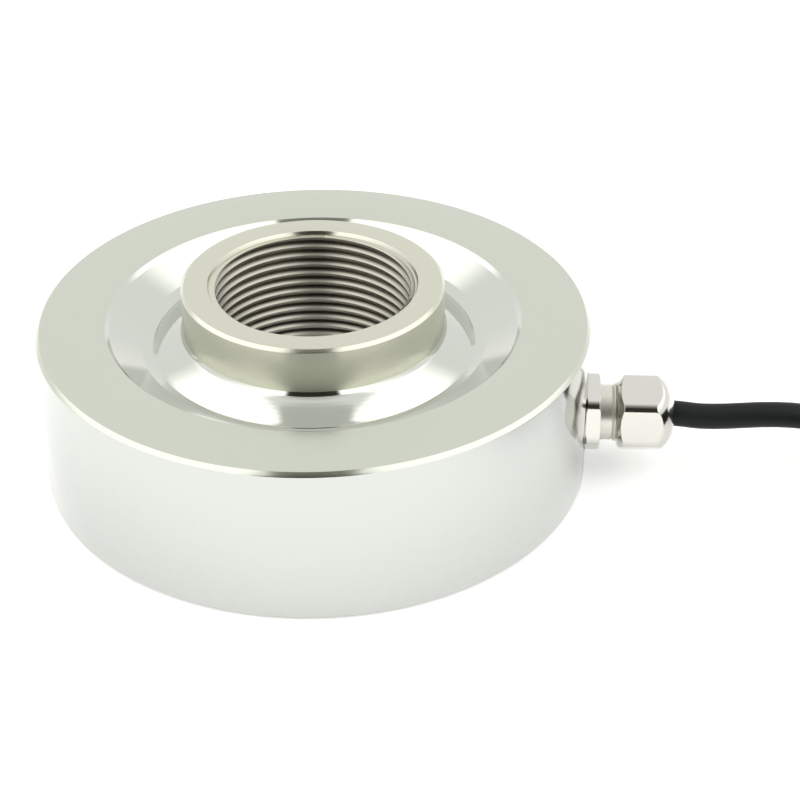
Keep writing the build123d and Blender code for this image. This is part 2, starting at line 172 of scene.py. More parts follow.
def steel(name, colour, rough, spread, anisotropy, marks, oil_and_shade=None):
    """Stainless steel: rough is its roughness, spread how much that wanders, marks how deep the feed
    marks look. oil is a colour and the two radii in millimetres between which it takes over: a brown
    film left by cutting, and painted shade in the thread's roots."""
    made, tree, place = new_material(name)
    patches = add(tree, "ShaderNodeTexNoise", {
        "Vector": place, "Scale": 1 / (POLISH_PATCH_MM * MM), "Detail": 4.0,
    })
    # Noise rarely leaves the range from 0.25 to 0.75, so that much is stretched over the whole spread.
    gloss = add(tree, "ShaderNodeMapRange", {
        "Value": patches.outputs["Fac"], "From Min": 0.25, "From Max": 0.75,
        "To Min": rough - spread, "To Max": rough + spread,
    }, interpolation_type="SMOOTHSTEP")
    parts = add(tree, "ShaderNodeSeparateXYZ", {"Vector": place})
    flat = add(tree, "ShaderNodeCombineXYZ", {"X": parts.outputs["X"], "Y": parts.outputs["Y"]})
    radius = add(tree, "ShaderNodeVectorMath", {0: flat.outputs[0]}, operation="LENGTH").outputs["Value"]
    along = add(tree, "ShaderNodeMath", {0: radius, 1: parts.outputs["Z"]}, operation="ADD")
    phase = add(tree, "ShaderNodeMath", {
        0: along.outputs[0], 1: 2 * pi / (FEED_MM * MM),
    }, operation="MULTIPLY")
    groove = add(tree, "ShaderNodeMath", {0: phase.outputs[0]}, operation="SINE")
    bump = add(tree, "ShaderNodeBump", {
        "Height": groove.outputs[0], "Strength": marks, "Distance": FEED_DEPTH_MM * MM,
    })
    round_the_axis = add(tree, "ShaderNodeTangent", direction_type="RADIAL", axis="Z")
    # For the thread, the colour darkens and browns towards the roots: a film of cutting oil, and painted
    # shade in the roots.
    base = oil_and_shade_tint(tree, radius, colour, *oil_and_shade) if oil_and_shade else linear(colour)
    shader = add(tree, "ShaderNodeBsdfPrincipled", {
        "Base Color": base, "Metallic": 1.0, "Anisotropic": anisotropy, "Anisotropic Rotation": 0.25,
        "Roughness": gloss.outputs[0], "Normal": bump.outputs[0], "Tangent": round_the_axis.outputs[0],
    })
    add(tree, "ShaderNodeOutputMaterial", {"Surface": shader.outputs[0]})
    return made


print("feed marks", FEED_MM, "mm apart, polish patches", POLISH_PATCH_MM, "mm")

# %% Six finishes of the same steel
# Each wanders wholly below or wholly above a roughness of 0.27. There the denoiser changes what it
# goes by, and a finish that crosses it shows faint squiggles.
#
# Polished after turning: a soft mirror, nearly as clear sideways as up and down.
polished_side = steel("polished_stainless_side", "#C7C9C6", 0.12, 0.03, 0.2, 0.06)
# Faced with a fine feed: an even, slightly greenish sheen that hides what it mirrors.
turned_face = steel("fine_turned_stainless_face", "#CBCEC3", 0.20, 0.04, 0.6, 0.12)
# Pressed smooth with a roller: the recess mirrors lamps and gaps as bands with clear edges.
burnished_recess = steel("burnished_stainless_recess", "#CDCFC8", 0.09, 0.02, 0.5, 0.05)
# Turned and left so: the hub is the warmest and dullest of the outer faces.
turned_hub = steel("turned_stainless_hub", "#CFCFC1", 0.23, 0.03, 0.7, 0.06)
# Cut by a threading tool that tears a little: dull crests, and roots that are brown with oil and
# darkened further by painted shade. The base is darker than the other steels, as painted shade for the dim
# bore.
threaded_steel = steel("cut_thread_stainless", "#B2AFA5", 0.34, 0.04, 0.0, 0.05, ("#7A756A", 18.6, 19.3))
# Milled, and out of sight once the cell is closed: grey, with no direction.
plain_steel = steel("milled_stainless", "#B8B9B2", 0.33, 0.04, 0.0, 0.2)
ring_steels = (polished_side, turned_face, burnished_recess, turned_hub, threaded_steel, plain_steel)
SIDE, FACE, RECESS, HUB, THREAD, MILLED = range(len(ring_steels))
print("steels:", [material.name for material in ring_steels])

# %% [markdown]
# Meshes from rows of points
#
# Nearly every piece here is round, so nearly every mesh is a grid of points: rows along an outline
# and columns round an axis. The Screw modifier could spin an outline, but a thread climbs while it
# turns and a hexagon changes its radius, and a plain grid takes both in its stride. The helpers below
# round the corners of an outline, turn a grid into faces, clean the result and put it in the scene.

# %% Round the corners of an outline
MOST_OF_A_SIDE = 0.45


def round_corners(points, radius, steps=3):
    """Outline with each corner replaced by a small arc of the given radius, as far as its sides allow."""
    made = [points[0]]
    for before, corner, after in zip(points, points[1:], points[2:]):
        a, c, b = (np.array(p, float) for p in (before, corner, after))
        side_in, side_out = a - c, b - c
        long_in, long_out = np.linalg.norm(side_in), np.linalg.norm(side_out)
        side_in, side_out = side_in / long_in, side_out / long_out
        half = acos(max(-1.0, min(1.0, float(side_in @ side_out)))) / 2
        cut = min(radius / tan(half), MOST_OF_A_SIDE * long_in, MOST_OF_A_SIDE * long_out)
        start, end = c + side_in * cut, c + side_out * cut
        middle = c + (side_in + side_out) / np.linalg.norm(side_in + side_out) * cut / cos(half)
        bend = cut * tan(half)
        for step in range(steps + 1):
            share = step / steps
            chord = start * (1 - share) + end * share - middle
            made.append(tuple(middle + chord / np.linalg.norm(chord) * bend))
    made.append(points[-1])
    return made


square_corner = round_corners([(0, 0), (10, 0), (10, 10)], 1.0)
print("a square corner of 1 mm becomes", len(square_corner) - 2, "points")

# %% Grid to mesh to object
CREASE = radians(32)
GAP_TO_MERGE_MM = 0.002


def mesh_from_rows(name, rows, close_rows=False, close_columns=True):
    """Mesh from a grid of points, rows by columns by three, in metres."""
    count, columns = rows.shape[:2]
    index = np.arange(count * columns).reshape(count, columns)
    if close_rows:
        index = np.vstack([index, index[:1]])
    if close_columns:
        index = np.hstack([index, index[:, :1]])
    quads = np.stack([index[:-1, :-1], index[:-1, 1:], index[1:, 1:], index[1:, :-1]], axis=-1)
    mesh = bpy.data.meshes.new(name)
    mesh.from_pydata(rows.reshape(-1, 3).tolist(), [], quads.reshape(-1, 4).tolist())
    return mesh


def clean(mesh, crease=CREASE):
    """Merges points that meet, turns all faces outwards and keeps only true edges sharp."""
    work = bmesh.new()
    work.from_mesh(mesh)
    bmesh.ops.remove_doubles(work, verts=work.verts, dist=GAP_TO_MERGE_MM * MM)
    bmesh.ops.dissolve_degenerate(work, edges=work.edges, dist=GAP_TO_MERGE_MM * MM)
    bmesh.ops.recalc_face_normals(work, faces=work.faces)
    work.to_mesh(mesh)
    work.free()
    mesh.shade_smooth()
    mesh.set_sharp_from_angle(angle=crease)
    return mesh


def show(mesh, name, *materials):
    """Object in the scene for a mesh, riding on the body."""
    for material in materials:
        mesh.materials.append(material)
    made = bpy.data.objects.new(name, mesh)
    scene.collection.objects.link(made)
    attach(made, BODY)
    return made


print("edges sharper than", round(CREASE * 180 / pi), "degrees stay sharp")

# %% [markdown]
# The sensing ring
#
# This is the piece that measures. It could be a few cylinders with bevels, but a turned part is drawn
# best as the lathe makes it: one outline, spun round the axis. The outline follows the CAD solid, with
# the small broken edges that catch the light. The recess is what makes it a load cell: its slopes
# leave a thin wall over the cavity, and the polish shows every change of slope as the edge of a
# reflection, so their angles matter more than their depth.

# %% Sizes of the ring
far_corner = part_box("sensing_body")[1]
RING_R = far_corner.x / MM
HUB_TOP = far_corner.z / MM
HUB_R = 24.85
HUB_RISE = 7.5
RING_TOP = HUB_TOP - HUB_RISE
HUB_BOTTOM = 1.0
RIM_BREAK = 0.75
FOOT_BREAK = 0.6
HUB_BREAK = 0.6
COVER_SEAT_R = 41.0
COVER_SEAT = 2.5
COVER_HOLE_R = 25.5
CAVITY_OUTER_R = 39.0
CAVITY_INNER_R = 27.5
CAVITY_ROOF = 18.0
CAVITY_CORNER = 1.5
print("ring", round(2 * RING_R, 1), "mm across,", round(HUB_TOP, 1), "mm high")

# %% The recess, from the hub's wall to the ring's flat face
HUB_WALL_END = RING_TOP - 1.24
FOOT = (25.3, RING_TOP - 2.0)
GROOVE = (30.76, RING_TOP - 5.05)
LAND = (32.86, RING_TOP - 4.2)
FLANK_TOP = (38.65, RING_TOP - 0.75)
RECESS_R = 39.4
INNER_FLANK_R = 50.0


def arc(start, end, radius, steps=8):
    """Points on an arc between two points of an outline that bulges to the left of the way."""
    way = np.subtract(end, start)
    half = np.linalg.norm(way) / 2
    inward = np.array([way[1], -way[0]]) / (2 * half)
    middle = np.add(start, end) / 2 + inward * sqrt(radius ** 2 - half ** 2)
    first = atan2(*(start - middle)[::-1])
    last = atan2(*(end - middle)[::-1])
    turns = [first + (last - first) * step / steps for step in range(steps + 1)]
    return [tuple(middle + radius * np.array([cos(t), sin(t)])) for t in turns]


recess = [(HUB_R, HUB_WALL_END), *arc(FOOT, GROOVE, INNER_FLANK_R), LAND, FLANK_TOP, (RECESS_R, RING_TOP)]
flank_slope = atan2(FLANK_TOP[1] - LAND[1], FLANK_TOP[0] - LAND[0]) * 180 / pi
print("outer flank of the recess slopes by", round(flank_slope, 1), "degrees")

# %% Outline of the ring, from the thread's top mouth round the outside to its bottom mouth
THREAD_MAJOR_R = 19.5
MOUTH_R = 19.85
LEAD_IN = 0.7
CORNER_SOFTNESS = 0.12

outline = [
    (THREAD_MAJOR_R, HUB_TOP - LEAD_IN),
    (MOUTH_R, HUB_TOP),
    (HUB_R - HUB_BREAK, HUB_TOP),
    (HUB_R, HUB_TOP - HUB_BREAK),
    *recess,
    (RING_R - RIM_BREAK, RING_TOP),
    (RING_R, RING_TOP - RIM_BREAK),
    (RING_R, FOOT_BREAK),
    (RING_R - FOOT_BREAK, 0.0),
    (COVER_SEAT_R, 0.0),
    (COVER_SEAT_R, COVER_SEAT),
    (CAVITY_OUTER_R, COVER_SEAT),
    (CAVITY_OUTER_R, CAVITY_ROOF - CAVITY_CORNER),
    (CAVITY_OUTER_R - CAVITY_CORNER, CAVITY_ROOF),
    (CAVITY_INNER_R + CAVITY_CORNER, CAVITY_ROOF),
    (CAVITY_INNER_R, CAVITY_ROOF - CAVITY_CORNER),
    (CAVITY_INNER_R, COVER_SEAT),
    (COVER_HOLE_R, COVER_SEAT),
    (COVER_HOLE_R, HUB_BOTTOM),
    (MOUTH_R, HUB_BOTTOM),
]
soft_outline = round_corners(outline, CORNER_SOFTNESS)
print("outline:", len(outline), "corners,", len(soft_outline), "points once they are softened")

# %% Spin the outline
COLUMNS = 288
angles = np.linspace(0, 2 * pi, COLUMNS + 1)
spin = np.stack([np.cos(angles), np.sin(angles)], axis=-1)


def spun(points):
    """Grid of points for an outline of radius and height, turned once round the axis."""
    radii = np.array([p[0] for p in points])
    heights = np.array([p[1] for p in points])
    grid = np.empty((len(points), COLUMNS + 1, 3))
    grid[..., :2] = radii[:, None, None] * spin[None]
    grid[..., 2] = heights[:, None]
    return grid * MM


outside_rows = spun(soft_outline)
print("outside of the ring:", outside_rows.shape[0], "rows of", outside_rows.shape[1], "points")

# %% [markdown]
# The thread
#
# The bore carries an M39 x 2 thread, about 18 turns of it. A bump map would fake it from the front, but
# here the light comes from above and each flank mirrors it by its own slope, so the thread is cut for
# real. Each row of points climbs by one pitch in a turn, and crests, flanks and roots have rows of
# their own, which keeps them crisp. Crest and root are flat, by a quarter and an eighth of the pitch,
# as the standard has them. The bottom mouth has the usual 120 degree countersink, and where its cone is
# wider than the thread, the cone wins. The top mouth has a short steep lead-in instead. There the rows
# are held at its lower edge, where a narrow flat ring joins them to the outline.

# %% One turn of the thread: crest, flank, root and flank, with the edges broken
THREAD_PITCH = 2.0
DEPTH_SHARE = 0.54125
THREAD_MINOR_R = THREAD_MAJOR_R - DEPTH_SHARE * THREAD_PITCH
CREST_SHARE = 0.25
ROOT_SHARE = 0.125
FLANK_SHARE = (1 - CREST_SHARE - ROOT_SHARE) / 2
EDGE = 0.02
NEARLY_CREST = 0.05
NEARLY_ROOT = 0.93
root_start = CREST_SHARE + FLANK_SHARE
root_end = root_start + ROOT_SHARE
turn_shape = [
    (EDGE, 0.0),
    (CREST_SHARE - EDGE, 0.0),
    (CREST_SHARE + EDGE, NEARLY_CREST),
    (root_start - EDGE, NEARLY_ROOT),
    (root_start + EDGE, 1.0),
    (root_end - EDGE, 1.0),
    (root_end + EDGE, NEARLY_ROOT),
    (1 - EDGE, NEARLY_CREST),
]
print("thread from", round(2 * THREAD_MINOR_R, 2), "to", 2 * THREAD_MAJOR_R, "mm across")

# %% Rows of the thread, finer near both mouths
THREAD_START = 0.28
MOUTH_ZONE = 1.0
FINE_STEP = 0.12
turns = int((HUB_TOP - HUB_BOTTOM) / THREAD_PITCH) + 3
coarse = [
    (HUB_BOTTOM + (turn - 1 + share) * THREAD_PITCH + THREAD_START, depth)
    for turn in range(-1, turns) for share, depth in turn_shape
]
row_places, row_depths = [], []
for (place, depth), (next_place, next_depth) in zip(coarse, coarse[1:]):
    near_mouth = place < HUB_BOTTOM + MOUTH_ZONE or place > HUB_TOP - THREAD_PITCH - MOUTH_ZONE
    cuts = max(1, round((next_place - place) / FINE_STEP)) if near_mouth else 1
    for cut in range(cuts):
        row_places.append(place + (next_place - place) * cut / cuts)
        row_depths.append(depth + (next_depth - depth) * cut / cuts)
print("thread:", len(row_places), "rows for", turns, "turns")

# %% Wind the rows up the bore, between the two mouths
COUNTERSINK = tan(radians(60))
climb = THREAD_PITCH * angles / (2 * pi)
heights = np.clip(np.array(row_places)[:, None] + climb[None], HUB_BOTTOM, HUB_TOP - LEAD_IN)
depths = np.interp(heights - climb[None], row_places, row_depths)
radii = THREAD_MINOR_R + depths * (THREAD_MAJOR_R - THREAD_MINOR_R)
radii = np.maximum(radii, MOUTH_R - COUNTERSINK * (heights - HUB_BOTTOM))
radii[-1] = THREAD_MAJOR_R
thread_rows = np.empty((*heights.shape, 3))
thread_rows[..., :2] = radii[..., None] * spin[None]
thread_rows[..., 2] = heights
thread_rows *= MM
print("thread runs from", heights.min(), "to", round(heights.max(), 2), "mm")

# %% Ring mesh: thread and outline as one closed skin
ring_mesh = bpy.data.meshes.new("sensing_ring")
skin = bmesh.new()
for rows in (thread_rows, outside_rows):
    part = mesh_from_rows("part", rows, close_columns=False)
    skin.from_mesh(part)
    bpy.data.meshes.remove(part)
skin.to_mesh(ring_mesh)
skin.free()
ring = show(clean(ring_mesh), "sensing_ring", *ring_steels)
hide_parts("sensing_body")
print("ring faces:", len(ring_mesh.polygons))

# %% [markdown]
# Where the gland sits
#
# The side wall has a flat spot, milled square to the gland, and a stepped hole behind it. Moving points
# of the grid by hand would crease the polished wall round it. A Boolean modifier takes the cutters out
# of the ring as the mill does, and leaves the rest of the wall as it was.

# %% Spot face and hole
GLAND_HEIGHT = 11.2
SPOT_DEPTH = 1.1
SPOT_R = 8.1
SPOT_X = RING_R - SPOT_DEPTH
SHANK_HOLE_R = 6.05
SHANK_LENGTH = 8.0
WIRE_HOLE_R = 3.5
WIRE_HOLE_START = 37.5
TO_X = Matrix.Rotation(pi / 2, 4, "Y")


def bored(target, radius, start, end, sides=96):
    """Takes a round hole along +X out of the target, from start to end."""
    cutter_mesh = bpy.data.meshes.new("cutter")
    drill = bmesh.new()
    bmesh.ops.create_cone(drill, cap_ends=True, segments=sides, radius1=radius * MM, radius2=radius * MM,
                          depth=(end - start) * MM)
    middle = Vector(((start + end) / 2, 0, GLAND_HEIGHT)) * MM
    bmesh.ops.transform(drill, matrix=Matrix.Translation(middle) @ TO_X, verts=drill.verts)
    drill.to_mesh(cutter_mesh)
    drill.free()
    cutter = bpy.data.objects.new("cutter", cutter_mesh)
    scene.collection.objects.link(cutter)
    cut = target.modifiers.new("cut", "BOOLEAN")
    cut.object = cutter
    cut.operation = "DIFFERENCE"
    cut.solver = "EXACT"
    seen = target.evaluated_get(bpy.context.evaluated_depsgraph_get())
    carved = bpy.data.meshes.new_from_object(seen)
    target.modifiers.clear()
    target.data = carved
    bpy.data.objects.remove(cutter)
    bpy.data.meshes.remove(cutter_mesh)


# Each cutter sticks out by a millimetre or two, so that no face of it lies in a face of the ring.
bored(ring, SPOT_R, SPOT_X, RING_R + 2)
bored(ring, SHANK_HOLE_R, SPOT_X - SHANK_LENGTH, SPOT_X + 1)
bored(ring, WIRE_HOLE_R, WIRE_HOLE_START, SPOT_X + 1)
ring.data.set_sharp_from_angle(angle=CREASE)
print("ring faces after the cuts:", len(ring.data.polygons))

# %% Finish of each stretch of the ring, by where its faces lie
NEAR = 0.1
WALL_BEHIND_SPOT = 37.0


def finish_at(place):
    """Number of the steel for a face of the ring whose centre lies at this place in millimetres.
    The small numbers are margins, because a face's centre lies a little off its edges."""
    reach = sqrt(place.x ** 2 + place.y ** 2)
    countersunk = MOUTH_R - COUNTERSINK * (place.z - HUB_BOTTOM)
    over_cover_seat = place.z < COVER_SEAT + NEAR and reach < COVER_SEAT_R + NEAR
    in_cavity = COVER_HOLE_R - NEAR < reach < COVER_SEAT_R + NEAR and place.z < CAVITY_ROOF + NEAR
    in_thread = countersunk + 0.04 < reach < THREAD_MAJOR_R + 0.01 and place.z < HUB_TOP - LEAD_IN - 0.005
    on_hub = reach < HUB_R + 0.05 and (place.z > HUB_WALL_END - 0.06 or reach < MOUTH_R + 0.01)
    at_spot = WALL_BEHIND_SPOT < place.x < SPOT_X + NEAR and abs(place.y) < SPOT_R + NEAR
    if in_cavity or over_cover_seat:
        return MILLED
    if in_thread:
        return THREAD
    if on_hub:
        return HUB
    if reach < RECESS_R + 0.05 and place.z > CAVITY_ROOF + NEAR:
        return RECESS
    if place.z > RING_TOP - 0.7 or place.z < 0.05:
        return FACE
    return MILLED if at_spot else SIDE


for face in ring.data.polygons:
    face.material_index = finish_at(face.center / MM)
used = [face.material_index for face in ring.data.polygons]
print("faces of each steel:", [used.count(number) for number in range(len(ring_steels))])

# %% [markdown]
# Nickel plate
#
# Washer, gland and cap are brass with a bright nickel plate. Nickel is a slightly warm white metal.
# One colour and one roughness would do for a tap in a far room, but here each flat fills a good part
# of the view and would look like plastic foil. The plating bath leaves a faint orange peel and clouds
# of gloss of about 4 mm, and two noises draw them. The peel is really about 0.1 mm wide, which is too
# fine to show, so it is drawn at 0.5 mm. The big flats of flange and cap mirror clearly, while the
# turned neck and the washer stay satin.

# %% Nickel as a recipe
CLOUD_MM = 4.0
PEEL_MM = 0.5
PEEL_DEPTH_MM = 0.02


def nickel(name, colour, rough):
    """Nickel plate: a slow wander of gloss and tint, and a faint orange peel left by the bath."""
    made, tree, place = new_material(name)
    cloud = add(tree, "ShaderNodeTexNoise", {"Vector": place, "Scale": 1 / (CLOUD_MM * MM), "Detail": 3.0})
    gloss = add(tree, "ShaderNodeMapRange", {
        "Value": cloud.outputs["Fac"], "To Min": rough - 0.04, "To Max": rough + 0.06,
    })
    tint = add(tree, "ShaderNodeMapRange", {"Value": cloud.outputs["Fac"], "To Min": 0.0, "To Max": 0.25})
    blend = add(tree, "ShaderNodeMix", {
        "Factor": tint.outputs[0], "A": linear(colour), "B": linear("#CDC9BE"),
    }, data_type="RGBA")
    peel = add(tree, "ShaderNodeTexNoise", {"Vector": place, "Scale": 1 / (PEEL_MM * MM), "Detail": 2.0})
    bump = add(tree, "ShaderNodeBump", {
        "Height": peel.outputs["Fac"], "Strength": 0.12, "Distance": PEEL_DEPTH_MM * MM,
    })
    shader = add(tree, "ShaderNodeBsdfPrincipled", {
        "Base Color": blend.outputs["Result"], "Metallic": 1.0,
        "Roughness": gloss.outputs[0], "Normal": bump.outputs[0],
    })
    add(tree, "ShaderNodeOutputMaterial", {"Surface": shader.outputs[0]})
    return made


# Plated over polished brass: clear, slightly warm mirrors with black lines at the hexagon's edges.
bright_nickel = nickel("bright_nickel_plate", "#D5D4CF", 0.11)
# Plated over turned brass: the same metal, but its reflections melt into soft bands.
satin_nickel = nickel("satin_nickel_plate", "#DAD8D0", 0.33)
gland_metals = (bright_nickel, satin_nickel)
SATIN = gland_metals.index(satin_nickel)
print("nickels:", [material.name for material in gland_metals])

# %% [markdown]
# The cable gland
#
# The gland seals the hole and grips the cable: a flange with a hexagon, a neck with a fine thread, and
# a domed cap. Both hexagons are 14 mm across flats and have edges rounded by 1.9 mm, each of which
# shows as one dark line down the middle. A hexagon with round edges and a domed nose is awkward as a
# stack of bevels. So each point of the grid is placed by two radii: that of the hexagon at its angle
# and that of the turned outline at its place. The smaller one wins, with a small blend, just as the
# real one is a turned blank with six flats milled on it.

# %% A hexagon with round edges
HEX_APOTHEM = 7.0
HEX_EDGE_R = 1.9


def hexagon_radius(angle):
    """Distance from the axis to a hexagon with rounded edges, for angles in radians from a flat's middle."""
    swing = abs((angle + pi / 6) % (pi / 3) - pi / 6)
    flat_end = (HEX_APOTHEM - HEX_EDGE_R) * tan(pi / 6)
    if HEX_APOTHEM * tan(swing) <= flat_end:
        return HEX_APOTHEM / cos(swing)
    reach = (HEX_APOTHEM - HEX_EDGE_R) / cos(pi / 6)
    off = pi / 6 - swing
    return reach * cos(off) + sqrt(HEX_EDGE_R ** 2 - (reach * sin(off)) ** 2)


print("hexagon", 2 * HEX_APOTHEM, "mm across flats and", round(2 * hexagon_radius(pi / 6), 2), "across edges")

# %% Grids round the gland's axis
HEX_BLEND = 0.12
HEX_FROM_R = 6.0
GLAND_COLUMNS = 216
GLAND_CREASE = radians(28)
FLANGE_TURN = radians(180 - 42.6 - 30)
CAP_TURN = radians(180 - 38.0 - 30)


def gland_piece(name, shape, hexed=None, turn=0.0):
    """Closed mesh round the gland's axis. shape is its outline of place along the axis and radius.
    hexed says between which places along the axis the hexagon cuts it."""
    rows = np.empty((len(shape), GLAND_COLUMNS, 3))
    for i, (x, r) in enumerate(shape):
        for j in range(GLAND_COLUMNS):
            angle = 2 * pi * j / GLAND_COLUMNS
            radius = r
            if hexed and hexed[0] - 1e-6 <= x <= hexed[1] + 1e-6 and r > HEX_FROM_R:
                hexagon = hexagon_radius(angle - turn)
                near = max(0.0, HEX_BLEND - abs(hexagon - r))
                radius = min(hexagon, r) - near * near / (4 * HEX_BLEND)
            rows[i, j] = (x, radius * cos(angle), GLAND_HEIGHT + radius * sin(angle))
    mesh = clean(mesh_from_rows(name, rows * MM, close_rows=True), GLAND_CREASE)
    return show(mesh, name, *gland_metals)


def dense(points, step=0.12):
    """The same outline with more points along its long sides."""
    made = []
    for (xa, ra), (xb, rb) in zip(points, points[1:]):
        count = max(1, int(np.hypot(xb - xa, rb - ra) / step))
        made += [(xa + (xb - xa) * k / count, ra + (rb - ra) * k / count) for k in range(count)]
    return made + [points[-1]]


print("a side of 1 mm gets", len(dense([(0, 0), (1, 0)])), "points")

# %% Where each piece starts along the gland's axis
WASHER_X = SPOT_X
FLANGE_X = WASHER_X + 0.8
NECK_X = FLANGE_X + 2.7
SCREW_X = NECK_X + 2.4
CAP_X = NECK_X + 3.4
TIP_X = CAP_X + 10.8
print("the gland reaches", round(TIP_X - RING_R, 1), "mm out of the ring's side")

# %% Washer: a turned ring with a broken outer edge, satin all over
WASHER_R = 7.75
WASHER_BREAK = 0.3
washer_shape = round_corners([
    (WASHER_X, SHANK_HOLE_R),
    (WASHER_X, WASHER_R),
    (FLANGE_X - WASHER_BREAK, WASHER_R),
    (FLANGE_X, WASHER_R - WASHER_BREAK),
    (FLANGE_X, SHANK_HOLE_R),
], 0.15)
washer = gland_piece("gland_washer_ring", washer_shape)
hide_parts("gland_washer")
for face in washer.data.polygons:
    face.material_index = SATIN
print("washer faces:", len(washer.data.polygons))

# %% Sizes of the gland body
FLANGE_R = 8.1
FLANGE_BREAK_R = 7.4
FLANGE_BREAK = 0.35
FLANGE_INNER_R = 5.0
NECK_R = 5.4
NECK_LIP_R = 5.1
NECK_END = CAP_X + 5.6
SCREW_ROOT_R = 5.2
SCREW_CREST_R = 5.68
SCREW_TURNS = 9
SCREW_PITCH = 0.75
SCREW_LEAD = 0.15
SCREW_SHAPE = ((0.0, SCREW_ROOT_R), (0.28, SCREW_CREST_R), (0.42, SCREW_CREST_R), (0.7, SCREW_ROOT_R))
SEAT_R = 4.3
SEAT_START = CAP_X - 1.4
BORE_R = 3.0
SHANK_R = 6.0
SHANK_LIP_R = 5.6
SHANK_BREAK = 0.4
UNDERCUT_R = 5.8
UNDERCUT = 0.2
SHANK_END = SPOT_X - SHANK_LENGTH
print("gland body", round(NECK_END - SHANK_END, 1), "mm long")

# %% Gland body: hexagon flange, neck with the cap's thread, seat of the seal and shank
flange_shape = dense(round_corners([
    (FLANGE_X, FLANGE_INNER_R),
    (FLANGE_X, FLANGE_BREAK_R),
    (FLANGE_X + FLANGE_BREAK, FLANGE_R),
    (NECK_X - FLANGE_BREAK, FLANGE_R),
    (NECK_X, FLANGE_BREAK_R),
    (NECK_X, NECK_R),
], 0.2))
screw = []
for step in range(SCREW_TURNS):
    start = SCREW_X + SCREW_LEAD + step * SCREW_PITCH
    screw += [(start + along, radius) for along, radius in SCREW_SHAPE]
neck = [(NECK_X, NECK_R), (SCREW_X - 0.1, NECK_R)] + [p for p in screw if p[0] < NECK_END]
bore = [
    (NECK_END, NECK_LIP_R),
    (NECK_END, SEAT_R),
    (SEAT_START, SEAT_R),
    (SEAT_START, BORE_R),
    (SHANK_END, BORE_R),
]
shank = [
    (SHANK_END, SHANK_LIP_R),
    (SHANK_END + SHANK_BREAK, SHANK_R),
    (FLANGE_X - UNDERCUT, SHANK_R),
    (FLANGE_X, UNDERCUT_R),
]
body_shape = flange_shape + neck + bore + shank
flange = gland_piece("gland_body_hexagon", body_shape, (FLANGE_X, NECK_X), FLANGE_TURN)
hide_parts("gland_body")
for face in flange.data.polygons:
    if not FLANGE_X < face.center.x / MM < NECK_X:
        face.material_index = SATIN
print("gland body faces:", len(flange.data.polygons))

# %% Cap: a shoulder, six flats and a dome down to the hole for the cable
DOME_LENGTH = 4.1
DOME_R = 7.0
DOME_STEPS = 32
TIP_R = 4.1
SHOULDER_R = 6.3
SHOULDER_LENGTH = 1.3
CAP_THREAD_R = 5.75
CABLE_HOLE_R = 3.3
CLAW_SEAT = CAP_X + 6.1
CORNER_R = HEX_APOTHEM / cos(pi / 6)

dome_foot = np.array([TIP_X - DOME_LENGTH, CORNER_R])
chord = np.array([DOME_LENGTH, TIP_R - CORNER_R])
half = np.linalg.norm(chord) / 2
inward = np.array([chord[1], -chord[0]]) / (2 * half)
middle = dome_foot + chord / 2 + inward * sqrt(DOME_R ** 2 - half ** 2)
spokes = [dome_foot + chord * step / DOME_STEPS - middle for step in range(DOME_STEPS + 1)]
dome = [tuple(middle + spoke / np.linalg.norm(spoke) * DOME_R) for spoke in spokes]

shoulder = round_corners([
    (CAP_X, CAP_THREAD_R),
    (CAP_X, SHOULDER_R),
    (CAP_X + SHOULDER_LENGTH, CORNER_R),
], 0.2)
cap_outside = dense(shoulder + [tuple(dome_foot)]) + dome
cap_inside = [
    (TIP_X, CABLE_HOLE_R),
    (CLAW_SEAT + CAP_THREAD_R - CABLE_HOLE_R, CABLE_HOLE_R),
    (CLAW_SEAT, CAP_THREAD_R),
    (CAP_X, CAP_THREAD_R),
]
cap = gland_piece("gland_cap_domed_nut", cap_outside + cap_inside, (CAP_X, TIP_X), CAP_TURN)
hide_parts("gland_cap")
print("cap faces:", len(cap.data.polygons))

# %% [markdown]
# Plastics and rubber
#
# Everything that isn't metal here is moulded, extruded or coated. A flat colour would be quick, but
# nothing real is that even. So such surfaces share one recipe: a base colour that wanders a little
# over 9 mm, as the pigment did in the melt, a fine grain of its own size, and a soft gloss. The jacket
# of the cable is black PVC, extruded, so its grain is drawn at 0.3 mm, coarser than the real one of
# about 0.05 mm, because only that shows.

# %% Plastic and rubber as a recipe
PIGMENT_MM = 9.0


def coated(name, colour, second, rough, grain_mm, grain_depth_mm, gleam=0.5):
    """Plastic or rubber: a base colour that wanders to a second one, fine grain and a soft gloss."""
    made, tree, place = new_material(name)
    slow = add(tree, "ShaderNodeTexNoise", {"Vector": place, "Scale": 1 / (PIGMENT_MM * MM), "Detail": 3.0})
    grain = add(tree, "ShaderNodeTexNoise", {"Vector": place, "Scale": 1 / (grain_mm * MM), "Detail": 3.0})
    pigment = add(tree, "ShaderNodeMix", {
        "Factor": slow.outputs["Fac"], "A": linear(colour), "B": linear(second),
    }, data_type="RGBA")
    gloss = add(tree, "ShaderNodeMapRange", {
        "Value": slow.outputs["Fac"], "To Min": rough - 0.06, "To Max": rough + 0.08,
    })
    bump = add(tree, "ShaderNodeBump", {
        "Height": grain.outputs["Fac"], "Strength": 0.5, "Distance": grain_depth_mm * MM,
    })
    shader = add(tree, "ShaderNodeBsdfPrincipled", {
        "Base Color": pigment.outputs["Result"], "Roughness": gloss.outputs[0], "Normal": bump.outputs[0],
        "Specular IOR Level": gleam,
    })
    add(tree, "ShaderNodeOutputMaterial", {"Surface": shader.outputs[0]})
    return made


# Extruded PVC with a matting agent: nearly black, with a weak broad gleam along its top.
cable_jacket = coated("extruded_black_jacket", "#0F1113", "#16191B", 0.5, 0.3, 0.03, gleam=0.22)
print("jacket:", cable_jacket.name)

